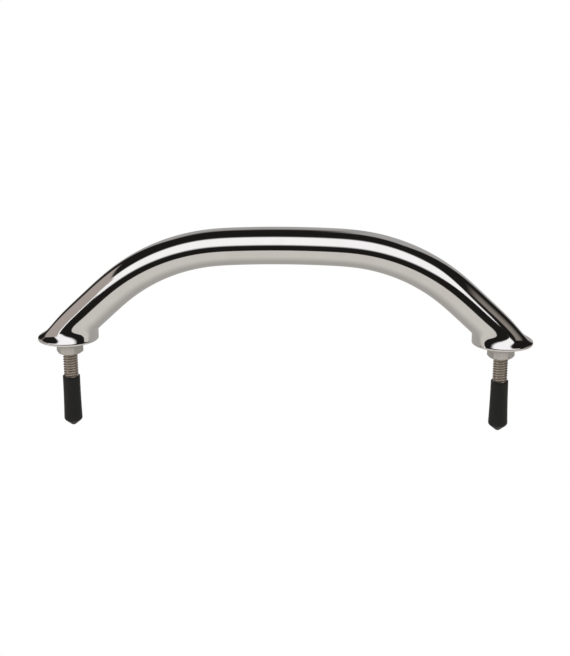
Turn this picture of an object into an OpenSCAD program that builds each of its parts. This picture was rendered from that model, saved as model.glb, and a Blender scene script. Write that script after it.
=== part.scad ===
// Stud-mounted grab rail: a bent oval tube on two flared round feet, each with a threaded stud,
// a washer, a nut and a soft cap over the end of the thread.
// Origin: midway between the two studs, on the plane that the feet stand on.
// X runs along the rail, Y across it, Z up through the crown. The studs point down.

/* [Rail] */
// Distance between the axes of the two studs
stud_spacing = 231.8; // [228:0.1:236]
// Height of the oval tube, in the plane of the bends
tube_h = 19.35; // [18.5:0.05:20]
// Width of the oval tube, across the rail
tube_w = 25.4; // [24:0.1:26.4]
// Wall of the tube
tube_wall = 1.2; // [0.8:0.1:2]
// Slope of the legs, measured from level
leg_angle = 43.1; // [42:0.1:45]
// Centreline radius of the two bends
bend_r = 96.2; // [92:0.1:100]
// Centreline radius of the shallow crown between the bends
crown_r = 590; // [400:10:1200]
// Half of the crown's length
crown_half = 32.4; // [28:0.1:36]
// Where the leg's centreline meets the deck plane, outward of the stud
leg_out = 4.3; // [4:0.1:4.6]

/* [Feet] */
// Diameter of a foot
foot_d = 32.5; // [32:0.1:33.5]
// Centre of a foot, outward of its stud
foot_out = 0.5; // [0:0.1:1]
// Thickness of the lip round a foot
lip_t = 1.6; // [1.2:0.1:2]
// Rounding of the lip's upper edge
lip_round = 0.7; // [0.4:0.1:1]
// How far the neck above the lip is drawn in, on the outer side
neck_in = 1.4; // [0.8:0.1:1.8]
// Length of a foot along the leg, from the deck plane
foot_len = 24; // [23:0.5:26]
// Wall of a foot, measured in from the tube's oval
foot_wall = 2.6; // [2.4:0.1:3]
// Width of the weld between a foot and the tube
seam_w = 1.6; // [1:0.1:2.5]

/* [Stud plates] */
// Diameter of the plate that closes a foot from below
plate_d = 23; // [20:0.5:24]
// Thickness of the plate
plate_t = 3; // [2:0.5:3.5]
// How far the plate sits above the deck plane
plate_recess = 0.3; // [0.2:0.1:0.6]
// Leg of the weld bead that holds the stud in its plate
bead = 2; // [1.5:0.1:2.5]

/* [Studs] */
// Major diameter of the thread
stud_d = 7.94; // [7.9:0.01:8]
// Diameter of the welded end, which also stands for the thread inside the washer, the nut and the cap
stud_core_d = 7.2; // [7:0.05:7.4]
// Length of a stud, welded end included
stud_len = 50.8; // [50:0.1:51]
// How far the stud stands above its plate, inside the foot
stud_up = 1; // [0.5:0.1:1.4]

/* [Washers and nuts] */
// Outer diameter of a washer
washer_d = 17.5; // [16:0.1:20]
// Hole of a washer
washer_hole_d = 8.7; // [8.4:0.1:9]
// Thickness of a washer
washer_t = 1.6; // [1.2:0.1:1.8]
// Width of a nut across its flats
nut_af = 12.7; // [12.5:0.1:13]
// Height of a nut
nut_h = 6.75; // [6:0.05:7]
// Bore of a nut, which runs clear of the thread
nut_bore_d = 8.04; // [8.02:0.01:8.1]
// Slope of the chamfers on a nut's corners
nut_chamfer = 34; // [15:1:40]
// Round face that the chamfers leave on a nut's ends, as a share of its width across flats
nut_face = 0.92; // [0.86:0.01:0.98]
// Turn of the left nut about its stud
left_nut_turn = -1; // [-30:0.5:30]
// Turn of the right nut about its stud
right_nut_turn = -6.5; // [-30:0.5:30]

/* [Thread caps] */
// Height of a cap's rim below the deck plane
cap_rim_drop = 21.2; // [21:0.1:24]
// Length of a cap
cap_len = 28.5; // [27:0.1:29]
// Diameter of a cap at its rim
cap_rim_d = 9.3; // [8.8:0.1:9.6]
// Diameter of a cap near its closed end
cap_end_d = 10.1; // [9.7:0.1:10.4]
// Bore of a cap
cap_bore_d = 7.3; // [7.28:0.01:7.4]
// Height of the blunt cone at a cap's closed end
cap_cone_h = 4.4; // [4:0.1:5]
// Diameter of the flat on the tip of that cone
cap_tip_d = 2; // [1:0.1:3]

/* [Hidden] */
$fn = 96;

// Play that keeps cuts clear of the faces they open
cut = 1;
// Gap that keeps the full thread clear of the nut above it and the cap below it
thread_gap = 0.15;
// Gap between the tip of the stud and the bottom of the cap
cap_slack = 0.2;
// How far the edge round a cap's cone is cut in, how far it is cut down, and the same on its tip
cap_edge_in = 0.6;
cap_edge_h = 1.5;
cap_tip_h = 0.3;

// The rail's centreline
tube_a = tube_h / 2;
tube_b = tube_w / 2;
leg_foot_x = stud_spacing / 2 + leg_out;
crown_turn = asin(crown_half / crown_r);
bend_x = crown_half - bend_r * sin(crown_turn);
bend_end_x = bend_x + bend_r * sin(leg_angle);
bend_z = (leg_foot_x - bend_end_x) * tan(leg_angle) - bend_r * cos(leg_angle);
crown_z = bend_z + bend_r * cos(crown_turn) + crown_r * (1 - cos(crown_turn));

// The foot
foot_x = stud_spacing / 2 + foot_out;
foot_r = foot_d / 2;
plate_top = plate_recess + plate_t;

// Height of the weld bead, which stays below the stud's end
bead_h = 0.45 * bead;

// The hardware on a stud, as heights
washer_bottom = plate_recess - washer_t;
nut_bottom = washer_bottom - nut_h;
stud_top = plate_top + stud_up;
cap_tip = -cap_rim_drop - cap_len;

// The colours
polished = [0.80, 0.79, 0.78];
satin = [0.66, 0.64, 0.62];
thread_grey = [0.50, 0.48, 0.45];
vinyl = [0.07, 0.07, 0.07];

// Puts a piece of the right end on either end: side is 1 for the right and -1 for the left.
// Each end is alike front and back, so a half turn serves as the mirror image
module on_side(side) {
    rotate([0, 0, side > 0 ? 0 : 180]) children();
}

// The oval section, drawn in by inset all round: x is in the plane of the bends
module oval(inset = 0) {
    scale([tube_a - inset, tube_b - inset]) circle(r = 1);
}

module oval_ring() {
    difference() {
        oval();
        oval(tube_wall);
    }
}

// Frame of the right leg: its Z runs up the leg from the deck plane, its X faces outward
module leg_frame() {
    translate([leg_foot_x, 0, 0]) rotate([0, leg_angle - 90, 0]) children();
}

// Stations along the rail's centreline, each as x, z and the slope down towards the right
bend_n = 12;
crown_n = 2;
function crown_station(turn) = [crown_r * sin(turn), crown_z - crown_r * (1 - cos(turn)), turn];
function bend_station(side, turn) =
    [side * (bend_x + bend_r * sin(turn)), bend_z + bend_r * cos(turn), side * turn];
function bend_turn(i) = crown_turn + (leg_angle - crown_turn) * i / bend_n;
function leg_station(side, s) =
    [side * (leg_foot_x - s * cos(leg_angle)), s * sin(leg_angle), side * leg_angle];
rail_path = concat(
    [leg_station(-1, foot_len + seam_w)],
    [for (i = [bend_n : -1 : 0]) bend_station(-1, bend_turn(i))],
    [for (i = [1 - crown_n : crown_n - 1]) crown_station(crown_turn * i / crown_n)],
    [for (i = [0 : bend_n]) bend_station(1, bend_turn(i))],
    [leg_station(1, foot_len + seam_w)]
);

// The tube's section at a station, as points round the oval
tube_n = 32;
function section(at, inset) = [for (j = [0 : tube_n - 1]) let (t = 360 * j / tube_n) [
    at[0] + (tube_a - inset) * cos(t) * sin(at[2]),
    (tube_b - inset) * sin(t),
    at[1] + (tube_a - inset) * cos(t) * cos(at[2])
]];

// Faces of the skin over rows of n points that start at a given index
function skin(first, rows, n) = [
    for (i = [0 : rows - 2], j = [0 : n - 1])
        let (a = first + i * n + j, b = first + i * n + (j + 1) % n)
        each [[a, a + n, b], [b, a + n, b + n]]
];
function flipped(faces) = [for (f = faces) [f[2], f[1], f[0]]];

// The hollow tube: an outer skin, an inner one, and a ring that joins them at each end
module rail_tube() {
    rows = len(rail_path);
    inner = rows * tube_n;
    last = inner - tube_n;
    rim = [for (j = [0 : tube_n - 1]) let (a = j, b = (j + 1) % tube_n)
        each [[a, b, inner + a], [b, inner + b, inner + a]]];
    far_rim = [for (f = rim) [f[2] + last, f[1] + last, f[0] + last]];
    color(polished) polyhedron(
        points = concat(
            [for (at = rail_path) each section(at, 0)],
            [for (at = rail_path) each section(at, tube_wall)]
        ),
        faces = concat(
            flipped(skin(0, rows, tube_n)),
            skin(inner, rows, tube_n),
            flipped(rim),
            flipped(far_rim)
        )
    );
}

// A point on the right leg's surface at angle t round the section, s along the leg, drawn in by inset
function leg_point(t, s, inset = 0) = [
    leg_foot_x - s * cos(leg_angle) + (tube_a - inset) * cos(t) * sin(leg_angle),
    (tube_b - inset) * sin(t),
    s * sin(leg_angle) + (tube_a - inset) * cos(t) * cos(leg_angle)
];

// How far along the leg that surface passes a height z
function leg_reach(t, z, inset = 0) =
    (z - (tube_a - inset) * cos(t) * cos(leg_angle)) / sin(leg_angle);

// Height at which the foot's flare turns into its neck: the inner side is a plain upright wall,
// so there the height follows from where the wall meets the underside of the leg
side_turn_z = 3.8;
outer_turn_z = 4;
inner_turn_z = (leg_foot_x - tube_a / sin(leg_angle) - foot_x + foot_r) * tan(leg_angle);
function neck(t) = neck_in * pow((1 + cos(t)) / 2, 2);

// Towards the inner side the flare runs up into a skirt, which meets the underside of the leg
skirt_rise = 3.6;
// The cosine at which the skirt starts, and how far from there it reaches its full rise
skirt_start = 0.2;
skirt_onset = 0.8;
function skirt(t) =
    let (onset = min(max((skirt_start - cos(t)) / skirt_onset, 0), 1))
    skirt_rise * onset * onset * (3 - 2 * onset) * pow(sin(t), 2);
function turn_z(t) =
    side_turn_z + ((cos(t) > 0 ? outer_turn_z : inner_turn_z) - side_turn_z) * pow(cos(t), 2) + skirt(t);
function turn_point(t) = leg_point(t, leg_reach(t, turn_z(t), neck(t)), neck(t));

// Start of the flare on the lip, straight out from the turn
function lip_radius(t) = foot_r - lip_round * (1 + cos(t)) / 2;
function lip_point(t, z) =
    let (turn = turn_point(t), around = atan2(turn.y, turn.x - foot_x))
    [foot_x + lip_radius(t) * cos(around), lip_radius(t) * sin(around), z];

// How far along the leg the flare has faded into the plain oval
merge_mid = 17.5;
merge_swing = 5.4;
function merge_reach(t) = merge_mid - merge_swing * cos(t);

// Share by which the turn is pulled out of its corner, which rounds the flare off at the front and back
side_fillet = 0.42;
function rounding(t) = side_fillet * pow(sin(t), cos(t) > 0 ? 16 : 2);

// Share of the way from the lip to the turn that the flare runs straight
flare_straight = 0.5;
// How much less of it is straight at the front and the back, where the flare is rounder
flare_ease = 0.35;
function flare_start(t) = flare_straight - flare_ease * pow(sin(t), 4);

// Control points of the foot's surface at angle t, from the lip up to the weld
function foot_net(t) =
    let (
        low = lip_point(t, lip_t),
        corner = turn_point(t),
        turn_s = leg_reach(t, turn_z(t), neck(t)),
        merge_s = merge_reach(t),
        upper = leg_point(t, (turn_s + merge_s) / 2, neck(t) / 3),
        turn = corner + rounding(t) * ((low + upper) / 2 - corner)
    ) [
        low,
        low + flare_start(t) * (turn - low),
        turn,
        upper,
        leg_point(t, merge_s),
        leg_point(t, foot_len)
    ];

// A cubic B-spline through the first and the last of its points
function held(p, i) =
    i < 0 ? 2 * p[0] - p[1] : i >= len(p) ? 2 * p[len(p) - 1] - p[len(p) - 2] : p[i];
function spline(p, i, f) = (
    pow(1 - f, 3) * held(p, i - 1)
    + (3 * pow(f, 3) - 6 * f * f + 4) * held(p, i)
    + (-3 * pow(f, 3) + 3 * f * f + 3 * f + 1) * held(p, i + 1)
    + pow(f, 3) * held(p, i + 2)
) / 6;

// The foot's solid outer form above its lip, as rings of points
ring_n = 48;
span_n = 2;
function foot_column(t) = let (net = foot_net(t)) concat(
    [lip_point(t, lip_t / 2)],
    [for (i = [0 : len(net) - 2], k = [0 : span_n - 1]) spline(net, i, k / span_n)],
    [net[len(net) - 1]]
);

module foot_form() {
    columns = [for (j = [0 : ring_n - 1]) foot_column(360 * j / ring_n)];
    rows = len(columns[0]);
    polyhedron(
        points = [for (i = [0 : rows - 1], j = [0 : ring_n - 1]) columns[j][i]],
        faces = concat(
            [[for (j = [0 : ring_n - 1]) j]],
            [[for (j = [ring_n - 1 : -1 : 0]) (rows - 1) * ring_n + j]],
            skin(0, rows, ring_n)
        )
    );
}

module lip() {
    translate([foot_x, 0, 0]) rotate_extrude() union() {
        square([foot_r - lip_round, lip_t]);
        square([foot_r, lip_t - lip_round]);
        translate([foot_r - lip_round, lip_t - lip_round]) circle(r = lip_round);
    }
}

module foot(side) {
    color(polished) on_side(side) difference() {
        union() {
            foot_form();
            lip();
        }
        translate([foot_x, 0, -cut]) cylinder(d = plate_d, h = plate_top + cut);
        intersection() {
            leg_frame() translate([0, 0, -foot_len]) linear_extrude(3 * foot_len) oval(foot_wall);
            translate([foot_x - foot_d, -foot_d, plate_top]) cube(2 * foot_d);
        }
    }
}

module seam_weld(side) {
    color(polished) on_side(side) leg_frame() translate([0, 0, foot_len])
        linear_extrude(seam_w) oval_ring();
}

module stud_plate(side) {
    color(satin) on_side(side) difference() {
        translate([foot_x, 0, plate_recess]) cylinder(d = plate_d, h = plate_t);
        translate([stud_spacing / 2, 0, -cut]) cylinder(d = stud_core_d, h = plate_top + 2 * cut);
    }
}

module stud(side) {
    tip = stud_top - stud_len;
    thread_low = thread_gap - cap_rim_drop;
    thread_high = nut_bottom - thread_gap;
    color(thread_grey) on_side(side) translate([stud_spacing / 2, 0, 0]) union() {
        translate([0, 0, tip]) cylinder(d = stud_core_d, h = stud_len);
        translate([0, 0, thread_low]) cylinder(d = stud_d, h = thread_high - thread_low);
    }
}

module stud_weld(side) {
    r = stud_core_d / 2;
    color(satin) on_side(side) translate([stud_spacing / 2, 0, plate_top])
        rotate_extrude() polygon([[r, 0], [r + bead, 0], [r, bead_h]]);
}

module washer(side) {
    color(satin) on_side(side) translate([stud_spacing / 2, 0, washer_bottom]) difference() {
        cylinder(d = washer_d, h = washer_t);
        translate([0, 0, -cut]) cylinder(d = washer_hole_d, h = washer_t + 2 * cut);
    }
}

// A hexagon nut with both ends chamfered. The chamfer cones reach the axis, so the flats stay whole
module nut(side, turn) {
    corner_r = nut_af / 2 / cos(30);
    face_r = nut_af / 2 * nut_face;
    drop = (corner_r - face_r) * tan(nut_chamfer);
    color(satin) translate([side * stud_spacing / 2, 0, nut_bottom]) rotate([0, 0, turn])
        difference() {
            intersection() {
                cylinder(r = corner_r, h = nut_h, $fn = 6);
                rotate_extrude() polygon([
                    [0, 0],
                    [face_r, 0],
                    [corner_r, drop],
                    [corner_r, nut_h - drop],
                    [face_r, nut_h],
                    [0, nut_h]
                ]);
            }
            translate([0, 0, -cut]) cylinder(d = nut_bore_d, h = nut_h + 2 * cut);
        }
}

module thread_cap(side) {
    rim = -cap_rim_drop;
    shoulder = cap_tip + cap_cone_h;
    floor_z = stud_top - stud_len - cap_slack;
    color(vinyl) on_side(side) translate([stud_spacing / 2, 0, 0]) difference() {
        rotate_extrude() polygon([
            [0, rim],
            [cap_rim_d / 2, rim],
            [cap_end_d / 2, shoulder],
            [cap_end_d / 2 - cap_edge_in, shoulder - cap_edge_h],
            [cap_tip_d / 2, cap_tip + cap_tip_h],
            [cap_tip_d / 4, cap_tip],
            [0, cap_tip]
        ]);
        translate([0, 0, floor_z]) cylinder(d = cap_bore_d, h = rim - floor_z + cut);
    }
}

rail_tube();
foot(-1);  // left_foot
foot(1);  // right_foot
seam_weld(-1);  // left_seam_weld
seam_weld(1);  // right_seam_weld
stud_plate(-1);  // left_stud_plate
stud_plate(1);  // right_stud_plate
stud(-1);  // left_stud
stud(1);  // right_stud
stud_weld(-1);  // left_stud_weld
stud_weld(1);  // right_stud_weld
washer(-1);  // left_washer
washer(1);  // right_washer
nut(-1, left_nut_turn);  // left_nut
nut(1, right_nut_turn);  // right_nut
thread_cap(-1);  // left_thread_cap
thread_cap(1);  // right_thread_cap
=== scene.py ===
"""Looks of a stud-mounted grab rail: fine meshes, materials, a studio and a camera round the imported
frame. Lengths are in metres, in the frame's own axes: X along the rail, Z up, studs pointing down."""

import math

import bmesh
import bpy
import numpy as np
from mathutils import Matrix, Vector


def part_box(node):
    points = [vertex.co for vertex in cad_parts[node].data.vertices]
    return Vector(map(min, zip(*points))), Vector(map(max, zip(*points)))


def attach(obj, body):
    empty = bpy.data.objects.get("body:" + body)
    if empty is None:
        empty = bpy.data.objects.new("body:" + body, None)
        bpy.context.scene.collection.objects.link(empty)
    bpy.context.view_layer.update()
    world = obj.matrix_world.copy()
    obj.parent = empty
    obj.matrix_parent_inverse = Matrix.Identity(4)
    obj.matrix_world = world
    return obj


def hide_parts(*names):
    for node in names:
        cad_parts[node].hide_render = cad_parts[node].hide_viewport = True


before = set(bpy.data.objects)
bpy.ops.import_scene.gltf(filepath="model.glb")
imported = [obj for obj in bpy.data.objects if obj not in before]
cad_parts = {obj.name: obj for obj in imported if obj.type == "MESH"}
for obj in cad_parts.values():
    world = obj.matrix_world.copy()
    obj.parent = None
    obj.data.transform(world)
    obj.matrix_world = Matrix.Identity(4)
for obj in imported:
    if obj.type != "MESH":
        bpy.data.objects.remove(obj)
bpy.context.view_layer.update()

MM = 0.001
TURN = 2 * math.pi
SIDES = {"left": -1, "right": 1}

# ---- Sizes that the frame's boxes don't give: the same design values as the CAD source

# The tube and its centreline, a shallow crown between two bends with straight legs
TUBE_H = 19.35 * MM
TUBE_WALL = 1.2 * MM
LEG_ANGLE = math.radians(43.1)
BEND_R = 96.2 * MM
CROWN_R = 590 * MM
CROWN_HALF = 32.4 * MM
SEAM_W = 1.6 * MM

# A foot: the lip, how far the neck above it is drawn in on the outer side, the length and the wall
LIP_T = 1.6 * MM
LIP_ROUND = 0.7 * MM
NECK_IN = 1.4 * MM
FOOT_LEN = 24 * MM
FOOT_WALL = 2.6 * MM

# Heights at which the foot's flare turns into the neck, at its front and back and at its outer end
SIDE_TURN_Z = 3.8 * MM
OUTER_TURN_Z = 4 * MM

# How far the flare rises into a skirt towards the inner side, the cosine at which the skirt starts,
# and how far from there it reaches its full rise
SKIRT_RISE = 3.6 * MM
SKIRT_START = 0.2
SKIRT_ONSET = 0.8

# Where the flare has faded into the oval, as a middle value and its swing between outer and inner side
MERGE_MID = 17.5 * MM
MERGE_SWING = 5.4 * MM

# Shares: how far the turn is rounded off at the front and back, how much of the way from the lip to
# the turn is straight, and how much less of it is at the front and back
SIDE_FILLET = 0.42
FLARE_STRAIGHT = 0.5
FLARE_EASE = 0.35

# The thread, the stud's plain end, which fills the hole in its plate, and the washer's hole
THREAD_PITCH = 25.4 / 18 * MM
THREAD_MAJOR_R = 7.94 / 2 * MM
THREAD_DEPTH = 0.82 * MM
STUD_PLAIN_R = 3.6 * MM
WASHER_HOLE_R = 4.35 * MM

# The nuts: width across flats, slope of the chamfers, the round face that they leave as a share of
# that width, and the turn of each nut about its stud
NUT_FLATS = 12.7 * MM
NUT_CHAMFER = math.radians(34)
NUT_FACE = 0.92
NUT_TURNS = {"left": math.radians(-1), "right": math.radians(-6.5)}

# The caps, which differ a little in how full they are near the closed end
CAP_RIM_R = 4.65 * MM
CAP_END_R = {"left": 4.95 * MM, "right": 5.2 * MM}

# Points round the tube and the feet, and round washers and plates
RING_N = 144
ROUND_N = 128

# ---- Sizes and places from the frame

tube_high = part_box("rail_tube")[1]
foot_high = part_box("right_foot")[1]
plate_low, plate_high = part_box("right_stud_plate")
washer_low, washer_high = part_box("right_washer")
nut_low, nut_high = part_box("right_nut")
stud_low, stud_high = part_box("right_stud")
cap_low, cap_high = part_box("right_thread_cap")
bead_low, bead_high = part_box("right_stud_weld")

TUBE_A = TUBE_H / 2
TUBE_B = tube_high.y
CROWN_Z = tube_high.z - TUBE_A
CROWN_TURN = math.asin(CROWN_HALF / CROWN_R)
BEND_X = CROWN_HALF - BEND_R * math.sin(CROWN_TURN)
BEND_Z = CROWN_Z - CROWN_R * (1 - math.cos(CROWN_TURN)) - BEND_R * math.cos(CROWN_TURN)
BEND_END_X = BEND_X + BEND_R * math.sin(LEG_ANGLE)
LEG_FOOT_X = BEND_END_X + (BEND_Z + BEND_R * math.cos(LEG_ANGLE)) / math.tan(LEG_ANGLE)
FOOT_R = foot_high.y
FOOT_X = foot_high.x - FOOT_R
STUD_X = (washer_low.x + washer_high.x) / 2
PLATE_R = (plate_high.x - plate_low.x) / 2


# ---- Mesh helpers


def quads(rows, n, loop=False):
    """Faces between rows of n points each. A loop joins the last row to the first."""
    j = np.arange(n)
    k = (j + 1) % n
    faces = []
    for i in range(rows if loop else rows - 1):
        a, b = i * n, (i + 1) % rows * n
        faces.append(np.stack([a + j, a + k, b + k, b + j], axis=1))
    return np.concatenate(faces).tolist()


def spun(profile, n):
    """Rings about Z through points (radius, height), as an array of rows, n points and 3 coordinates."""
    angle = np.linspace(0, TURN, n, endpoint=False)
    r, z = np.array(profile, float).T
    x = r[:, None] * np.cos(angle)
    y = r[:, None] * np.sin(angle)
    return np.stack([x, y, np.broadcast_to(z[:, None], x.shape)], axis=2)


def arc(centre, radius, start, end, steps):
    """Points (radius, height) along an arc, with angles in degrees from the outward direction."""
    angles = np.radians(np.linspace(start, end, steps + 1))
    return [(centre[0] + radius * math.cos(a), centre[1] + radius * math.sin(a)) for a in angles]


def make_piece(name, rows, material, body, node, poles=False, sharp=35):
    """A closed mesh through rings of points that rides on a body and stands for a CAD node.

    Without poles the last ring joins the first. With poles each end ring closes on its own middle.
    Edges that turn by more than sharp degrees stay sharp.
    """
    count, n = rows.shape[:2]
    points = rows.reshape(-1, 3)
    faces = quads(count, n, loop=not poles)
    if poles:
        middles = np.stack([rows[0].mean(axis=0), rows[-1].mean(axis=0)])
        points = np.concatenate([points, middles])
        last = (count - 1) * n
        for j in range(n):
            k = (j + 1) % n
            faces.append([k, j, count * n])
            faces.append([last + j, last + k, count * n + 1])
    mesh = bpy.data.meshes.new(name)
    mesh.from_pydata(points.tolist(), [], faces)
    work = bmesh.new()
    work.from_mesh(mesh)
    bmesh.ops.recalc_face_normals(work, faces=work.faces)
    work.to_mesh(mesh)
    work.free()
    mesh.shade_smooth()
    mesh.set_sharp_from_angle(angle=math.radians(sharp))
    mesh.materials.append(material)
    piece = bpy.data.objects.new(name, mesh)
    bpy.context.scene.collection.objects.link(piece)
    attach(piece, body)
    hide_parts(node)


def at_stud(rows, side, turn=0.0):
    """Rings about Z moved to the stud of one side, after a turn about their own axis."""
    c, s = math.cos(turn), math.sin(turn)
    x, y, z = rows[..., 0], rows[..., 1], rows[..., 2]
    return np.stack([c * x - s * y + SIDES[side] * STUD_X, s * x + c * y, z], axis=-1)


def to_side(rows, side):
    """Points of the right end as they are, or turned half a turn about Z for the left end."""
    return rows if side == "right" else rows * np.array([-1, -1, 1])


# ---- Materials


class Nodes:
    """A short way to write a material's node tree. Its noise is placed in the object's own metres."""

    def __init__(self, name):
        self.material = bpy.data.materials.new(name)
        self.material.use_nodes = True
        self.tree = self.material.node_tree
        self.shader = self.tree.nodes["Principled BSDF"]
        self.place = self.add("ShaderNodeTexCoord").outputs["Object"]

    def add(self, kind, **settings):
        node = self.tree.nodes.new(kind)
        for key, value in settings.items():
            setattr(node, key, value)
        return node

    def link(self, source, target):
        self.tree.links.new(source, target)

    def noise(self, scale, detail=3.0, roughness=0.55, along=(1, 1, 1), distortion=0.0):
        """Noise at a scale in waves per metre, times along in X, Y and Z: under 1 draws it out."""
        mapping = self.add("ShaderNodeMapping")
        mapping.inputs["Scale"].default_value = [scale * share for share in along]
        self.link(self.place, mapping.inputs["Vector"])
        noise = self.add("ShaderNodeTexNoise")
        noise.inputs["Scale"].default_value = 1.0
        noise.inputs["Detail"].default_value = detail
        noise.inputs["Roughness"].default_value = roughness
        noise.inputs["Distortion"].default_value = distortion
        self.link(mapping.outputs["Vector"], noise.inputs["Vector"])
        return noise.outputs["Fac"]

    def ramp(self, value, low, high, out_low, out_high):
        """Maps a value from low-high to out_low-out_high, held at both ends."""
        node = self.add("ShaderNodeMapRange", clamp=True)
        node.inputs["From Min"].default_value = low
        node.inputs["From Max"].default_value = high
        node.inputs["To Min"].default_value = out_low
        node.inputs["To Max"].default_value = out_high
        self.link(value, node.inputs["Value"])
        return node.outputs["Result"]

    def math(self, operation, a, b=0):
        """An operation on two values, each a number or a node's output."""
        node = self.add("ShaderNodeMath", operation=operation)
        for socket, value in zip(node.inputs, (a, b)):
            if isinstance(value, (int, float)):
                socket.default_value = value
            else:
                self.link(value, socket)
        return node.outputs["Value"]

    def colour(self, value, low, high, dark, light):
        """Base Color: dark up to low, light from high on, and a blend of both between them."""
        node = self.add("ShaderNodeValToRGB")
        for element, position, colour in zip(node.color_ramp.elements, (low, high), (dark, light)):
            element.position = position
            element.color = (*colour, 1)
        self.link(value, node.inputs["Fac"])
        self.link(node.outputs["Color"], self.shader.inputs["Base Color"])

    def bump(self, height, depth, strength=1.0, below=None):
        """A bump of a height from 0 to 1 times depth in metres, on top of an earlier one."""
        node = self.add("ShaderNodeBump")
        node.inputs["Strength"].default_value = strength
        node.inputs["Distance"].default_value = depth
        self.link(height, node.inputs["Height"])
        if below is not None:
            self.link(below, node.inputs["Normal"])
        self.link(node.outputs["Normal"], self.shader.inputs["Normal"])
        return node.outputs["Normal"]


def polished_steel():
    """Mirror-polished stainless: a faint haze that varies, and hair-fine lines from the polishing wheel."""
    m = Nodes("polished_stainless")
    m.shader.inputs["Metallic"].default_value = 1.0
    haze = m.noise(90, detail=4)
    m.colour(haze, 0.3, 0.7, (0.79, 0.775, 0.76), (0.83, 0.82, 0.81))
    lines = m.noise(700, detail=4, roughness=0.7, along=(0.12, 1, 1), distortion=0.3)
    smear = m.math("MULTIPLY", m.ramp(lines, 0.45, 0.75, 0, 1), m.ramp(haze, 0.35, 0.65, 0.2, 1))
    m.link(m.ramp(smear, 0, 1, 0.055, 0.11), m.shader.inputs["Roughness"])
    m.bump(lines, 0.4e-6, strength=0.5)
    return m.material


def satin_steel():
    """Machined stainless as nuts and washers have: satin, with fine tool marks and duller patches."""
    m = Nodes("satin_stainless")
    m.shader.inputs["Metallic"].default_value = 1.0
    patches = m.noise(350, detail=4)
    marks = m.noise(1800, detail=3, roughness=0.6, along=(1, 1, 3))
    m.colour(patches, 0.3, 0.7, (0.57, 0.545, 0.52), (0.68, 0.66, 0.635))
    rough = m.math("ADD", m.ramp(patches, 0.3, 0.7, 0.26, 0.36), m.ramp(marks, 0.3, 0.7, -0.04, 0.05))
    m.link(rough, m.shader.inputs["Roughness"])
    m.bump(marks, 6e-6, strength=0.5)
    return m.material


def threaded_steel():
    """Rolled stainless thread: darker towards its root as painted shade, and duller there, with fine
    streaks along it.
    """
    m = Nodes("threaded_stainless")
    m.shader.inputs["Metallic"].default_value = 1.0
    patches = m.noise(500, detail=4)
    streaks = m.noise(2600, detail=2, along=(0.5, 0.5, 3))
    split = m.add("ShaderNodeSeparateXYZ")
    m.link(m.place, split.inputs["Vector"])
    beside = m.math("SUBTRACT", m.math("ABSOLUTE", split.outputs["X"]), STUD_X)
    squares = m.math("ADD", m.math("POWER", beside, 2), m.math("POWER", split.outputs["Y"], 2))
    # Painted shade: the base colour darkens from near the crest down to the thread's root, standing in for
    # the shade in the grooves, and random patches darken it a little more
    full_light_r = THREAD_MAJOR_R - 0.1 * MM
    crest_lit = m.ramp(m.math("SQRT", squares), THREAD_MAJOR_R - THREAD_DEPTH, full_light_r, 0, 1)
    shade_and_patches = m.math("MULTIPLY", crest_lit, m.ramp(patches, 0.3, 0.7, 0.85, 1))
    m.colour(shade_and_patches, 0.1, 0.9, (0.46, 0.405, 0.345), (0.67, 0.62, 0.565))
    rough = m.math("ADD", m.ramp(crest_lit, 0, 1, 0.42, 0.27), m.ramp(streaks, 0.3, 0.7, -0.03, 0.03))
    m.link(rough, m.shader.inputs["Roughness"])
    return m.material


def black_vinyl():
    """Soft dipped vinyl: near black and matt, with a fine pebbled skin and a few rubbed spots."""
    m = Nodes("black_vinyl")
    m.shader.inputs["Specular IOR Level"].default_value = 0.4
    rubbed = m.noise(420, detail=4, roughness=0.6)
    pebbles = m.noise(3800, detail=2)
    m.colour(rubbed, 0.45, 0.8, (0.0050, 0.0053, 0.0062), (0.0078, 0.0082, 0.0092))
    m.link(m.ramp(rubbed, 0.3, 0.7, 0.44, 0.37), m.shader.inputs["Roughness"])
    swells = m.bump(m.noise(260, detail=2), 60e-6, strength=0.4)
    m.bump(pebbles, 6e-6, strength=0.4, below=swells)
    return m.material


# ---- The rail's tube


def oval_ring(x, z, slope, inset, n):
    """The tube's oval section at a station whose centreline slopes down to the right by slope."""
    t = np.linspace(0, TURN, n, endpoint=False)
    out = (TUBE_A - inset) * np.cos(t)
    y = (TUBE_B - inset) * np.sin(t)
    return np.stack([x + out * math.sin(slope), y, z + out * math.cos(slope)], axis=1)


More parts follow.
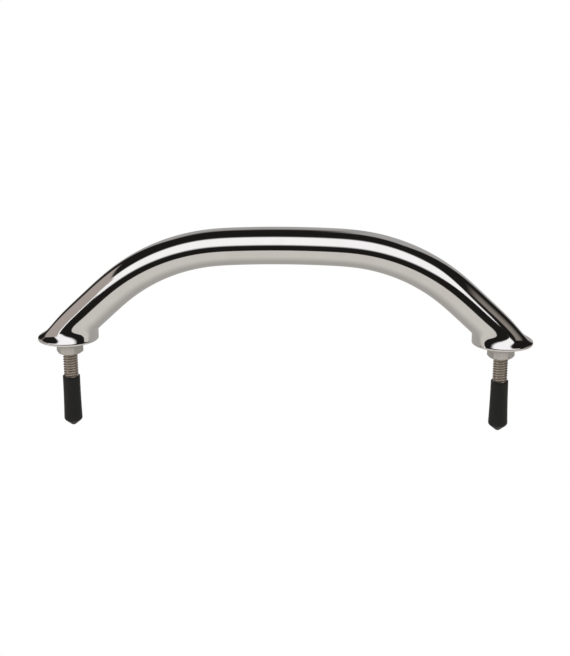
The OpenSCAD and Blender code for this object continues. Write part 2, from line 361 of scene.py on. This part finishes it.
def rail_stations(count):
    """Stations along the centreline from left to right, each as x, z and slope, count on each half.

    The bend's curvature eases in from the crown and out to the leg, so reflections run on without a kink.
    """
    ease, steps = 9 * MM, 4000
    bend_start = CROWN_R * CROWN_TURN
    bend_end = bend_start + BEND_R * (LEG_ANGLE - CROWN_TURN)
    leg_end = bend_end + (LEG_FOOT_X - BEND_END_X) / math.cos(LEG_ANGLE) - FOOT_LEN - SEAM_W
    fine = np.linspace(0, leg_end, steps + 1)
    step = fine[1]
    into, out_of = (np.clip((fine - at) / (2 * ease) + 0.5, 0, 1) for at in (bend_start, bend_end))
    curvature = 1 / CROWN_R + (1 / BEND_R - 1 / CROWN_R) * into - 1 / BEND_R * out_of
    slope = np.concatenate([[0], np.cumsum((curvature[1:] + curvature[:-1]) / 2 * step)])
    x = np.concatenate([[0], np.cumsum(np.cos((slope[1:] + slope[:-1]) / 2) * step)])
    z = -np.concatenate([[0], np.cumsum(np.sin((slope[1:] + slope[:-1]) / 2) * step)])
    z += (LEG_FOOT_X - x[-1]) * math.tan(LEG_ANGLE) - z[-1]
    pick = np.linspace(0, steps, count).astype(int)
    right = list(zip(x[pick], z[pick], slope[pick]))
    end = FOOT_LEN + SEAM_W
    right[-1] = (LEG_FOOT_X - end * math.cos(LEG_ANGLE), end * math.sin(LEG_ANGLE), LEG_ANGLE)
    left = [(-x, z, -slope) for x, z, slope in right[:0:-1]]
    return left + right


def rail_tube(steel):
    """The tube as an outer skin from left to right and an inner skin back."""
    outer = [oval_ring(*at, 0, RING_N) for at in rail_stations(count=101)]
    inner = [oval_ring(*at, TUBE_WALL, RING_N) for at in rail_stations(count=26)[::-1]]
    make_piece("bent_oval_tube", np.array(outer + inner), steel, "root", "rail_tube")


# ---- The feet


def leg_point(t, s, inset=0.0):
    """Points of the right leg's surface at angle t round the oval and s along the leg."""
    t, s, inset = np.broadcast_arrays(t, s, inset)
    out = (TUBE_A - inset) * np.cos(t)
    x = LEG_FOOT_X - s * math.cos(LEG_ANGLE) + out * math.sin(LEG_ANGLE)
    z = s * math.sin(LEG_ANGLE) + out * math.cos(LEG_ANGLE)
    return np.stack([x, (TUBE_B - inset) * np.sin(t), z], axis=-1)


def leg_reach(t, z, inset=0.0):
    """How far along the leg its surface passes a height z."""
    return (z - (TUBE_A - inset) * np.cos(t) * math.cos(LEG_ANGLE)) / math.sin(LEG_ANGLE)


def spline_rows(net, steps):
    """Rows along cubic B-splines that start and end on the first and last rows of the net."""
    held = [2 * net[0] - net[1], *net, 2 * net[-1] - net[-2]]
    rows = []
    for i in range(len(net) - 1):
        for f in np.arange(steps) / steps:
            weights = ((1 - f) ** 3, 3 * f**3 - 6 * f * f + 4, -3 * f**3 + 3 * f * f + 3 * f + 1, f**3)
            rows.append(sum(w * held[i + k] for k, w in enumerate(weights)) / 6)
    return rows + [net[-1]]


def foot_ring(around, radius, z):
    """Points in the directions around, in a circle or oval about the right foot's upright axis."""
    x = FOOT_X + radius * np.cos(around)
    return np.stack([x, radius * np.sin(around), np.broadcast_to(z, x.shape)], axis=1)


def foot_net(t):
    """Control rings of the right foot's outside from its lip up to the weld, and its points' directions."""
    outward = np.cos(t)
    neck = NECK_IN * ((1 + outward) / 2) ** 2
    inner_turn_z = (LEG_FOOT_X - TUBE_A / math.sin(LEG_ANGLE) - FOOT_X + FOOT_R) * math.tan(LEG_ANGLE)
    end_z = np.where(outward > 0, OUTER_TURN_Z, inner_turn_z)
    onset = np.clip((SKIRT_START - outward) / SKIRT_ONSET, 0, 1)
    skirt = SKIRT_RISE * onset**2 * (3 - 2 * onset) * np.sin(t) ** 2
    turn_z = SIDE_TURN_Z + (end_z - SIDE_TURN_Z) * outward**2 + skirt
    turn_s = leg_reach(t, turn_z, neck)
    turn = leg_point(t, turn_s, neck)
    around = np.arctan2(turn[:, 1], turn[:, 0] - FOOT_X)
    merge_s = MERGE_MID - MERGE_SWING * outward
    low = foot_ring(around, FOOT_R - LIP_ROUND * (1 + outward) / 2, LIP_T)
    upper = leg_point(t, (turn_s + merge_s) / 2, neck / 3)
    rounding = SIDE_FILLET * np.where(outward > 0, np.sin(t) ** 16, np.sin(t) ** 2)
    turn += rounding[:, None] * ((low + upper) / 2 - turn)
    straight = (FLARE_STRAIGHT - FLARE_EASE * np.sin(t) ** 4)[:, None]
    flare = low + straight * (turn - low)
    return [low, flare, turn, upper, leg_point(t, merge_s), leg_point(t, FOOT_LEN)], around


def lip_rows(low, turn, edge):
    """Rings round the lip, as Bezier curves that leave the flare along its own slope and end upright."""
    along = low - turn
    along /= np.linalg.norm(along, axis=1)[:, None]
    reach = 0.5 * np.linalg.norm(low - edge, axis=1)[:, None]
    guides = [low, low + along * reach, edge + np.array([0, 0, 1]) * reach, edge]
    rows = []
    for f in np.arange(1, 11) / 10:
        weights = ((1 - f) ** 3, 3 * f * (1 - f) ** 2, 3 * f * f * (1 - f), f**3)
        rows.append(sum(w * g for w, g in zip(weights, guides)))
    return rows


def foot_rows(n):
    """Rings of the right foot: down its outside, round the lip, up the pocket and up the bore."""
    t = np.linspace(0, TURN, n, endpoint=False)
    net, around = foot_net(t)
    outside = spline_rows(net, steps=12)[::-1]
    ease, edge_z, top_z = 0.25 * MM, 0.35 * MM, plate_high.z
    lip = lip_rows(net[0], net[2], foot_ring(around, FOOT_R, edge_z))
    under = [foot_ring(around, r, z) for r, z in arc((FOOT_R - ease, ease), ease, 0, -90, 4)]
    pocket = [foot_ring(around, r, z) for r, z in arc((PLATE_R + ease, ease), ease, -90, -180, 3)]
    bore = [
        foot_ring(around, PLATE_R, top_z),
        leg_point(t, leg_reach(t, top_z, FOOT_WALL), FOOT_WALL),
        leg_point(t, FOOT_LEN, FOOT_WALL),
    ]
    return np.array(outside + lip + under + pocket + bore)


def foot(side, steel):
    """A hollow flared foot, polished flush into the tube."""
    rows = to_side(foot_rows(RING_N), side)
    make_piece(f"{side}_flared_foot", rows, steel, "root", f"{side}_foot", sharp=50)


def seam_weld(side, steel):
    """The ring of weld between a foot and the tube, polished flush with both."""
    t = np.linspace(0, TURN, RING_N, endpoint=False)
    ends = [(FOOT_LEN, 0), (FOOT_LEN + SEAM_W, 0), (FOOT_LEN + SEAM_W, TUBE_WALL), (FOOT_LEN, TUBE_WALL)]
    rows = to_side(np.array([leg_point(t, s, inset) for s, inset in ends]), side)
    make_piece(f"{side}_flush_weld", rows, steel, "root", f"{side}_seam_weld")


# ---- The hardware on each stud


def thread_radius(phase):
    """Radius of the stud's thread at a phase in turns, with a crest at every whole turn.

    A flat on the crest and one at the root leave straight flanks, which a slight swing eases.
    """
    crest, root, swing = 0.085, 0.40, 0.06
    distance = np.abs((phase + 0.5) % 1 - 0.5)
    flank = np.clip((root - distance) / (root - crest), 0, 1)
    share = flank - swing * np.sin(TURN * flank)
    return THREAD_MAJOR_R - THREAD_DEPTH * (1 - share)


def threaded_rows(trimmed, z_low, z_high, n, per_pitch):
    """Rings of a right-hand thread between two heights. trimmed(z, radius) turns its ends down."""
    count = int(round((z_high - z_low) / THREAD_PITCH * per_pitch)) + 1
    z = np.linspace(z_low, z_high, count)
    angle = np.linspace(0, TURN, n, endpoint=False)
    phase = z[:, None] / THREAD_PITCH - angle[None, :] / TURN
    radius = trimmed(z[:, None], thread_radius(phase))
    heights = np.broadcast_to(z[:, None], radius.shape)
    return np.stack([radius * np.cos(angle), radius * np.sin(angle), heights], axis=2)


def stud(side, steel):
    """The stud: threaded from its chamfered tip up to the plate, with a plain welded end."""
    chamfer, run_out = 1.0 * MM, 0.8 * MM
    tip_r = THREAD_MAJOR_R - THREAD_DEPTH - 0.1 * MM

    def trimmed(z, radius):
        tip = np.minimum(radius, tip_r + (z - stud_low.z) * (THREAD_MAJOR_R - tip_r) / chamfer)
        fade = np.clip((z + run_out) / run_out, 0, 1)
        return tip * (1 - fade) + STUD_PLAIN_R * fade

    rows = at_stud(threaded_rows(trimmed, stud_low.z, stud_high.z, n=72, per_pitch=14), side)
    name, node = f"{side}_threaded_stud", f"{side}_stud"
    make_piece(name, rows, steel, "root", node, poles=True, sharp=60)


def hexagon(flats, corner, per_flat, per_corner):
    """Points round a hexagon with rounded corners, with flats facing 30, 90 and so on degrees."""
    points = []
    far = (flats / 2 - corner) / math.cos(math.radians(30))
    for k in range(6):
        middle = math.radians(60 * k)
        centre = Vector((far * math.cos(middle), far * math.sin(middle)))
        for a in np.linspace(-30, 30, per_corner):
            angle = middle + math.radians(a)
            points.append(centre + corner * Vector((math.cos(angle), math.sin(angle))))
        following = math.radians(60 * (k + 1))
        start = points[-1]
        first = math.radians(60 * (k + 1) - 30)
        end = Vector((far * math.cos(following), far * math.sin(following)))
        end = end + corner * Vector((math.cos(first), math.sin(first)))
        points += [start.lerp(end, f) for f in np.arange(1, per_flat) / per_flat]
    return np.array(points)


def nut(side, steel):
    """A hexagon nut with chamfered corners, eased edges and a thread that meshes with the stud's."""
    outline = hexagon(NUT_FLATS, corner=0.25 * MM, per_flat=14, per_corner=5)
    n = len(outline)
    radius = np.linalg.norm(outline, axis=1)
    unit = outline / radius[:, None]
    face_r = NUT_FLATS / 2 * NUT_FACE
    ease = 0.1 * MM
    low, high = nut_low.z, nut_high.z

    def ring(r, z):
        return np.concatenate([unit * np.reshape(r, (-1, 1)), np.broadcast_to(z, (n,))[:, None]], axis=1)

    drop = (radius - face_r) * math.tan(NUT_CHAMFER)
    slope = np.array([math.cos(NUT_CHAMFER), math.sin(NUT_CHAMFER)]) * ease
    half = [
        ring(face_r - ease, high),
        ring(face_r, high - 0.2 * ease),
        ring(face_r + slope[0], high - slope[1]),
        ring(radius - slope[0], high - drop + slope[1]),
        ring(radius - 0.25 * ease, high - drop - 0.25 * ease),
        ring(radius, high - drop - ease),
    ]
    mirrored = [row * np.array([1, 1, -1]) + np.array([0, 0, low + high]) for row in half[::-1]]

    # The bore, back up from the bottom to the top, with a countersink at both ends
    angle = np.arctan2(unit[:, 1], unit[:, 0])
    clear, mouth, bore_n = 0.05 * MM, 0.35 * MM, 74
    bore = []
    for z in np.linspace(low, high, bore_n):
        phase = z / THREAD_PITCH - (angle + NUT_TURNS[side]) / TURN
        opening = THREAD_MAJOR_R + clear + mouth - min(z - low, high - z)
        bore.append(ring(np.maximum(thread_radius(phase) + clear, opening), z))
    rows = at_stud(np.array(half + mirrored + bore), side, NUT_TURNS[side])
    make_piece(f"{side}_hex_nut", rows, steel, f"{side}_nut", f"{side}_nut", sharp=48)


def flat_ring(low, high, inner_r, outer_r, ease):
    """Profile of a flat ring with eased edges, as a closed loop."""
    return (
        arc((outer_r - ease, high - ease), ease, 90, 0, 3)
        + arc((outer_r - ease, low + ease), ease, 0, -90, 3)
        + arc((inner_r + ease, low + ease), ease, -90, -180, 3)
        + arc((inner_r + ease, high - ease), ease, -180, -270, 3)
    )


def washer(side, steel):
    """A flat washer."""
    outer_r = (washer_high.x - washer_low.x) / 2
    profile = flat_ring(washer_low.z, washer_high.z, WASHER_HOLE_R, outer_r, ease=0.18 * MM)
    rows = at_stud(spun(profile, ROUND_N), side)
    make_piece(f"{side}_flat_washer", rows, steel, f"{side}_washer", f"{side}_washer")


def stud_plate(side, steel):
    """The plate that closes the foot from below. Its hole is round the stud, off the plate's middle."""
    rings = spun(flat_ring(plate_low.z, plate_high.z, STUD_PLAIN_R, PLATE_R, ease=0.3 * MM), ROUND_N)
    half = len(rings) // 2
    rim = rings[:half] + np.array([FOOT_X, 0, 0])
    hole = rings[half:] + np.array([STUD_X, 0, 0])
    rows = to_side(np.concatenate([rim, hole]), side)
    make_piece(f"{side}_closing_plate", rows, steel, "root", f"{side}_stud_plate")


def stud_weld(side, steel):
    """The weld bead round the stud on top of its plate, with the ripples that a weld has."""
    width = (bead_high.x - bead_low.x) / 2 - STUD_PLAIN_R
    height = bead_high.z - bead_low.z
    ripples, n, dip = 22, 176, 0.06
    profile = [(STUD_PLAIN_R, 0), (STUD_PLAIN_R + width, 0)]
    profile += [(STUD_PLAIN_R + width * f, height * (1 - f**1.6)) for f in (0.86, 0.66, 0.44, 0.22, 0.0)]
    rows = spun(profile, n)
    rows[2:-1, :, 2] *= 1 - dip * (1 - np.cos(np.linspace(0, TURN * ripples, n, endpoint=False)))
    rows[..., 2] += bead_low.z
    rows = at_stud(rows, side)
    make_piece(f"{side}_weld_bead", rows, steel, "root", f"{side}_stud_weld")


def thread_cap(side, vinyl):
    """A soft vinyl cap: narrow at its rim, a little fuller towards its blunt end, and hollow."""
    rim, tip, end_r = cap_high.z, cap_low.z, CAP_END_R[side]
    bore_r = THREAD_MAJOR_R + 0.04 * MM
    lip = (CAP_RIM_R - bore_r) / 2
    floor_z = stud_low.z - 0.2 * MM

    # The closed end: a rounded nose, a straight cone at lean degrees from the axis, a rounded shoulder
    lean, nose, shoulder, nose_x = 50, 1.6 * MM, 2.0 * MM, 0.3 * MM
    slope = math.radians(lean)
    rise = ((end_r - shoulder - nose_x) * math.cos(slope) - nose + shoulder) / math.sin(slope)
    shoulder_z = tip + nose + rise
    profile = arc((nose_x, tip + nose), nose, -86, -lean, 5)
    profile += arc((end_r - shoulder, shoulder_z), shoulder, -lean, 0, 6)

    # The side, drawn in a little along its middle, and the lip round the rim
    waist = 0.1 * MM
    for f in np.linspace(0, 1, 14)[1:-1]:
        drawn_in = waist * math.sin(math.pi * f)
        radius = end_r + (CAP_RIM_R - end_r) * f - drawn_in
        profile.append((radius, shoulder_z + (rim - lip - shoulder_z) * f))
    profile += arc((bore_r + lip, rim - lip), lip, 0, 180, 6)

    # The bore, down to a floor with a rounded corner
    profile += [(bore_r, (floor_z + rim) / 2), (bore_r, floor_z + 0.7 * MM)]
    profile += [(bore_r - 0.15 * MM, floor_z + 0.15 * MM), (bore_r - 0.6 * MM, floor_z)]
    profile.append((0.4 * MM, floor_z))
    rows = at_stud(spun(profile, 96), side)
    body = f"{side}_thread_cap"
    make_piece(f"{side}_vinyl_cap", rows, vinyl, body, body, poles=True, sharp=60)


# ---- The studio and the camera

LENS_MM = 75.7
CAMERA_DISTANCE = 737.7 * MM
CAMERA_RISE = math.radians(17.2)
CAMERA_TURN = math.radians(2.6)
CAMERA_ROLL = math.radians(0.17)
AIM = Vector((0.6 * MM, 0, 6.9 * MM))


def camera():
    """The camera stands in front, a little to the right and above, and looks just above the deck plane."""
    back = Vector((math.sin(CAMERA_TURN), -math.cos(CAMERA_TURN), 0)) * math.cos(CAMERA_RISE)
    back.z = math.sin(CAMERA_RISE)
    right = Vector((math.cos(CAMERA_TURN), math.sin(CAMERA_TURN), 0))
    up = back.cross(right)
    c, s = math.cos(CAMERA_ROLL), math.sin(CAMERA_ROLL)
    rolled = Matrix((right * c - up * s, right * s + up * c, back)).transposed().to_4x4()
    rolled.translation = AIM + back * CAMERA_DISTANCE
    data = bpy.data.cameras.new("camera")
    data.lens = LENS_MM
    data.clip_start = 0.01
    view = bpy.data.objects.new("camera", data)
    view.matrix_world = rolled
    bpy.context.scene.collection.objects.link(view)
    bpy.context.scene.camera = view


def studio_piece(name, mesh, material, unseen_by):
    """Adds a piece of the studio that rays of the kinds in unseen_by pass through."""
    mesh.materials.append(material)
    piece = bpy.data.objects.new(name, mesh)
    for kind in unseen_by:
        setattr(piece, f"visible_{kind}", False)
    bpy.context.scene.collection.objects.link(piece)


def fading_glow(name, colour, soft):
    """A glowing material that fades to clear towards a card's left, right, low and high edges.

    soft is the share of the card's width or height that the fade at each of these edges takes.
    """
    glow = bpy.data.materials.new(name)
    glow.use_nodes = True
    tree = glow.node_tree
    tree.nodes.clear()
    split = tree.nodes.new("ShaderNodeSeparateXYZ")
    tree.links.new(tree.nodes.new("ShaderNodeTexCoord").outputs["UV"], split.inputs["Vector"])
    factor = None
    for axis, edge, share in zip("XXYY", (0, 1, 0, 1), soft):
        if share == 0:
            continue
        fade = tree.nodes.new("ShaderNodeMapRange")
        fade.interpolation_type = "SMOOTHSTEP"
        fade.inputs["From Min"].default_value = edge
        fade.inputs["From Max"].default_value = abs(edge - share)
        tree.links.new(split.outputs[axis], fade.inputs["Value"])
        faded = fade.outputs["Result"]
        if factor is not None:
            both = tree.nodes.new("ShaderNodeMath")
            both.operation = "MULTIPLY"
            tree.links.new(factor, both.inputs[0])
            tree.links.new(faded, both.inputs[1])
            faded = both.outputs["Value"]
        factor = faded
    light = tree.nodes.new("ShaderNodeEmission")
    light.inputs["Color"].default_value = (*colour, 1)
    mix = tree.nodes.new("ShaderNodeMixShader")
    mix.inputs["Fac"].default_value = 1.0
    if factor is not None:
        tree.links.new(factor, mix.inputs["Fac"])
    tree.links.new(tree.nodes.new("ShaderNodeBsdfTransparent").outputs["BSDF"], mix.inputs[1])
    tree.links.new(light.outputs["Emission"], mix.inputs[2])
    tree.links.new(mix.outputs["Shader"], tree.nodes.new("ShaderNodeOutputMaterial").inputs["Surface"])
    return glow


def card(name, rows, colour, soft):
    """A glowing card that light and reflections see and the camera doesn't.

    The rows run from its low or front edge on, each as a left and a right point.
    """
    along = [0.0]
    for (left, right), (next_left, next_right) in zip(rows, rows[1:]):
        step = (Vector(next_left) + Vector(next_right) - Vector(left) - Vector(right)) / 2
        along.append(along[-1] + step.length)
    places = [(u, v / along[-1]) for v in along for u in (0, 1)]
    faces = [(2 * i, 2 * i + 1, 2 * i + 3, 2 * i + 2) for i in range(len(rows) - 1)]
    mesh = bpy.data.meshes.new(name)
    mesh.from_pydata([point for row in rows for point in row], [], faces)
    layer = mesh.uv_layers.new(name="across")
    for loop in mesh.loops:
        layer.data[loop.index].uv = places[loop.vertex_index]
    studio_piece(name, mesh, fading_glow(name, colour, soft), unseen_by=["camera"])


def level(name, z, rows, colour, soft):
    """A level card, with rows from front to back, each as y and the x of both ends."""
    card(name, [((first, y, z), (last, y, z)) for y, first, last in rows], colour, soft)


def behind(name, y, across, low, high, colour, soft):
    """An upright card behind the rail, between two x."""
    card(name, [((across[0], y, z), (across[1], y, z)) for z in (low, high)], colour, soft)


def beside(name, x, across, low, high, colour, soft):
    """An upright card beside the rail, between two y, the front one first."""
    card(name, [((x, across[0], z), (x, across[1], z)) for z in (low, high)], colour, soft)


# The table and the floor lie below the caps' travel
TABLE_Z = -0.12
FLOOR_Z = TABLE_Z - 0.001


def studio():
    """A soft box overhead, a pale table, pale cards behind and beside, and dark air between them."""
    table, under = TABLE_Z, TABLE_Z - 0.01
    box = [
        (-1.75, -1.6, 0.9),
        (-1.3, -2.0, 1.5),
        (-1.05, -2.05, 2.2),
        (-0.45, -1.85, 1.6),
        (-0.2, -1.75, 1.3),
        (0.07, -1.25, 0.95),
    ]
    level("soft_box", 1.0, box, (1.10, 1.09, 1.11), (0.02, 0.05, 0.42, 0.09))
    level("table", table, [(-1.6, -2, 2), (0.07, -2, 2)], (0.67, 0.645, 0.61), (0, 0, 0.35, 0.12))
    level("table_behind", FLOOR_Z, [(-0.3, -2, 2), (1.0, -2, 2)], (0.42, 0.405, 0.385), (0, 0, 0, 0))
    behind("back_card", 1.0, (-0.6, 0.3), under, 0.96, (0.41, 0.405, 0.40), (0.1, 0.3, 0, 0.35))
    behind("back_right_card", 0.98, (0.0, 0.72), under, 1.25, (0.42, 0.415, 0.41), (0.3, 0.15, 0, 0.2))
    beside("left_card", -1.0, (-0.33, 1.1), under, 0.71, (0.44, 0.385, 0.36), (0.09, 0.2, 0, 0.06))
    beside("left_strip", -0.99, (-0.42, -0.27), table, 0.98, (1.1, 1.1, 1.1), (0.25, 0.25, 0.1, 0.04))
    beside("right_card", 1.0, (-0.08, 0.8), under, 0.67, (0.28, 0.25, 0.225), (0.1, 0.7, 0, 0.15))


def backdrop():
    """White all round for the camera alone, and nearly dark for light and reflections."""
    scene = bpy.context.scene
    scene.view_settings.view_transform = "Standard"
    scene.world = bpy.data.worlds.new("studio")
    scene.world.use_nodes = True
    tree = scene.world.node_tree
    dark = tree.nodes["Background"]
    dark.inputs["Color"].default_value = (0.013, 0.012, 0.011, 1)
    white = tree.nodes.new("ShaderNodeBackground")
    white.inputs["Color"].default_value = (1, 1, 1, 1)
    mix = tree.nodes.new("ShaderNodeMixShader")
    tree.links.new(tree.nodes.new("ShaderNodeLightPath").outputs["Is Camera Ray"], mix.inputs["Fac"])
    tree.links.new(dark.outputs["Background"], mix.inputs[1])
    tree.links.new(white.outputs["Background"], mix.inputs[2])
    tree.links.new(mix.outputs["Shader"], tree.nodes["World Output"].inputs["Surface"])


def floor():
    """A plain white floor, which only the camera sees, and only from above."""
    half = 4.0
    corners = [(x * half, y * half, FLOOR_Z) for x, y in ((-1, -1), (1, -1), (1, 1), (-1, 1))]
    mesh = bpy.data.meshes.new("floor")
    mesh.from_pydata(corners, [], [(0, 1, 2, 3)])
    paint = bpy.data.materials.new("floor_white")
    paint.use_nodes = True
    tree = paint.node_tree
    tree.nodes.clear()
    white = tree.nodes.new("ShaderNodeEmission")
    white.inputs["Color"].default_value = (1, 1, 1, 1)
    mix = tree.nodes.new("ShaderNodeMixShader")
    tree.links.new(tree.nodes.new("ShaderNodeNewGeometry").outputs["Backfacing"], mix.inputs["Fac"])
    tree.links.new(white.outputs["Emission"], mix.inputs[1])
    tree.links.new(tree.nodes.new("ShaderNodeBsdfTransparent").outputs["BSDF"], mix.inputs[2])
    tree.links.new(mix.outputs["Shader"], tree.nodes.new("ShaderNodeOutputMaterial").inputs["Surface"])
    studio_piece("floor", mesh, paint, unseen_by=["diffuse", "glossy", "transmission", "shadow"])


steel = polished_steel()
satin = satin_steel()
threaded = threaded_steel()
vinyl = black_vinyl()

rail_tube(steel)
for side in SIDES:
    foot(side, steel)
    seam_weld(side, steel)
    stud_plate(side, satin)
    stud_weld(side, satin)
    stud(side, threaded)
    washer(side, satin)
    nut(side, satin)
    thread_cap(side, vinyl)

camera()
backdrop()
studio()
floor()
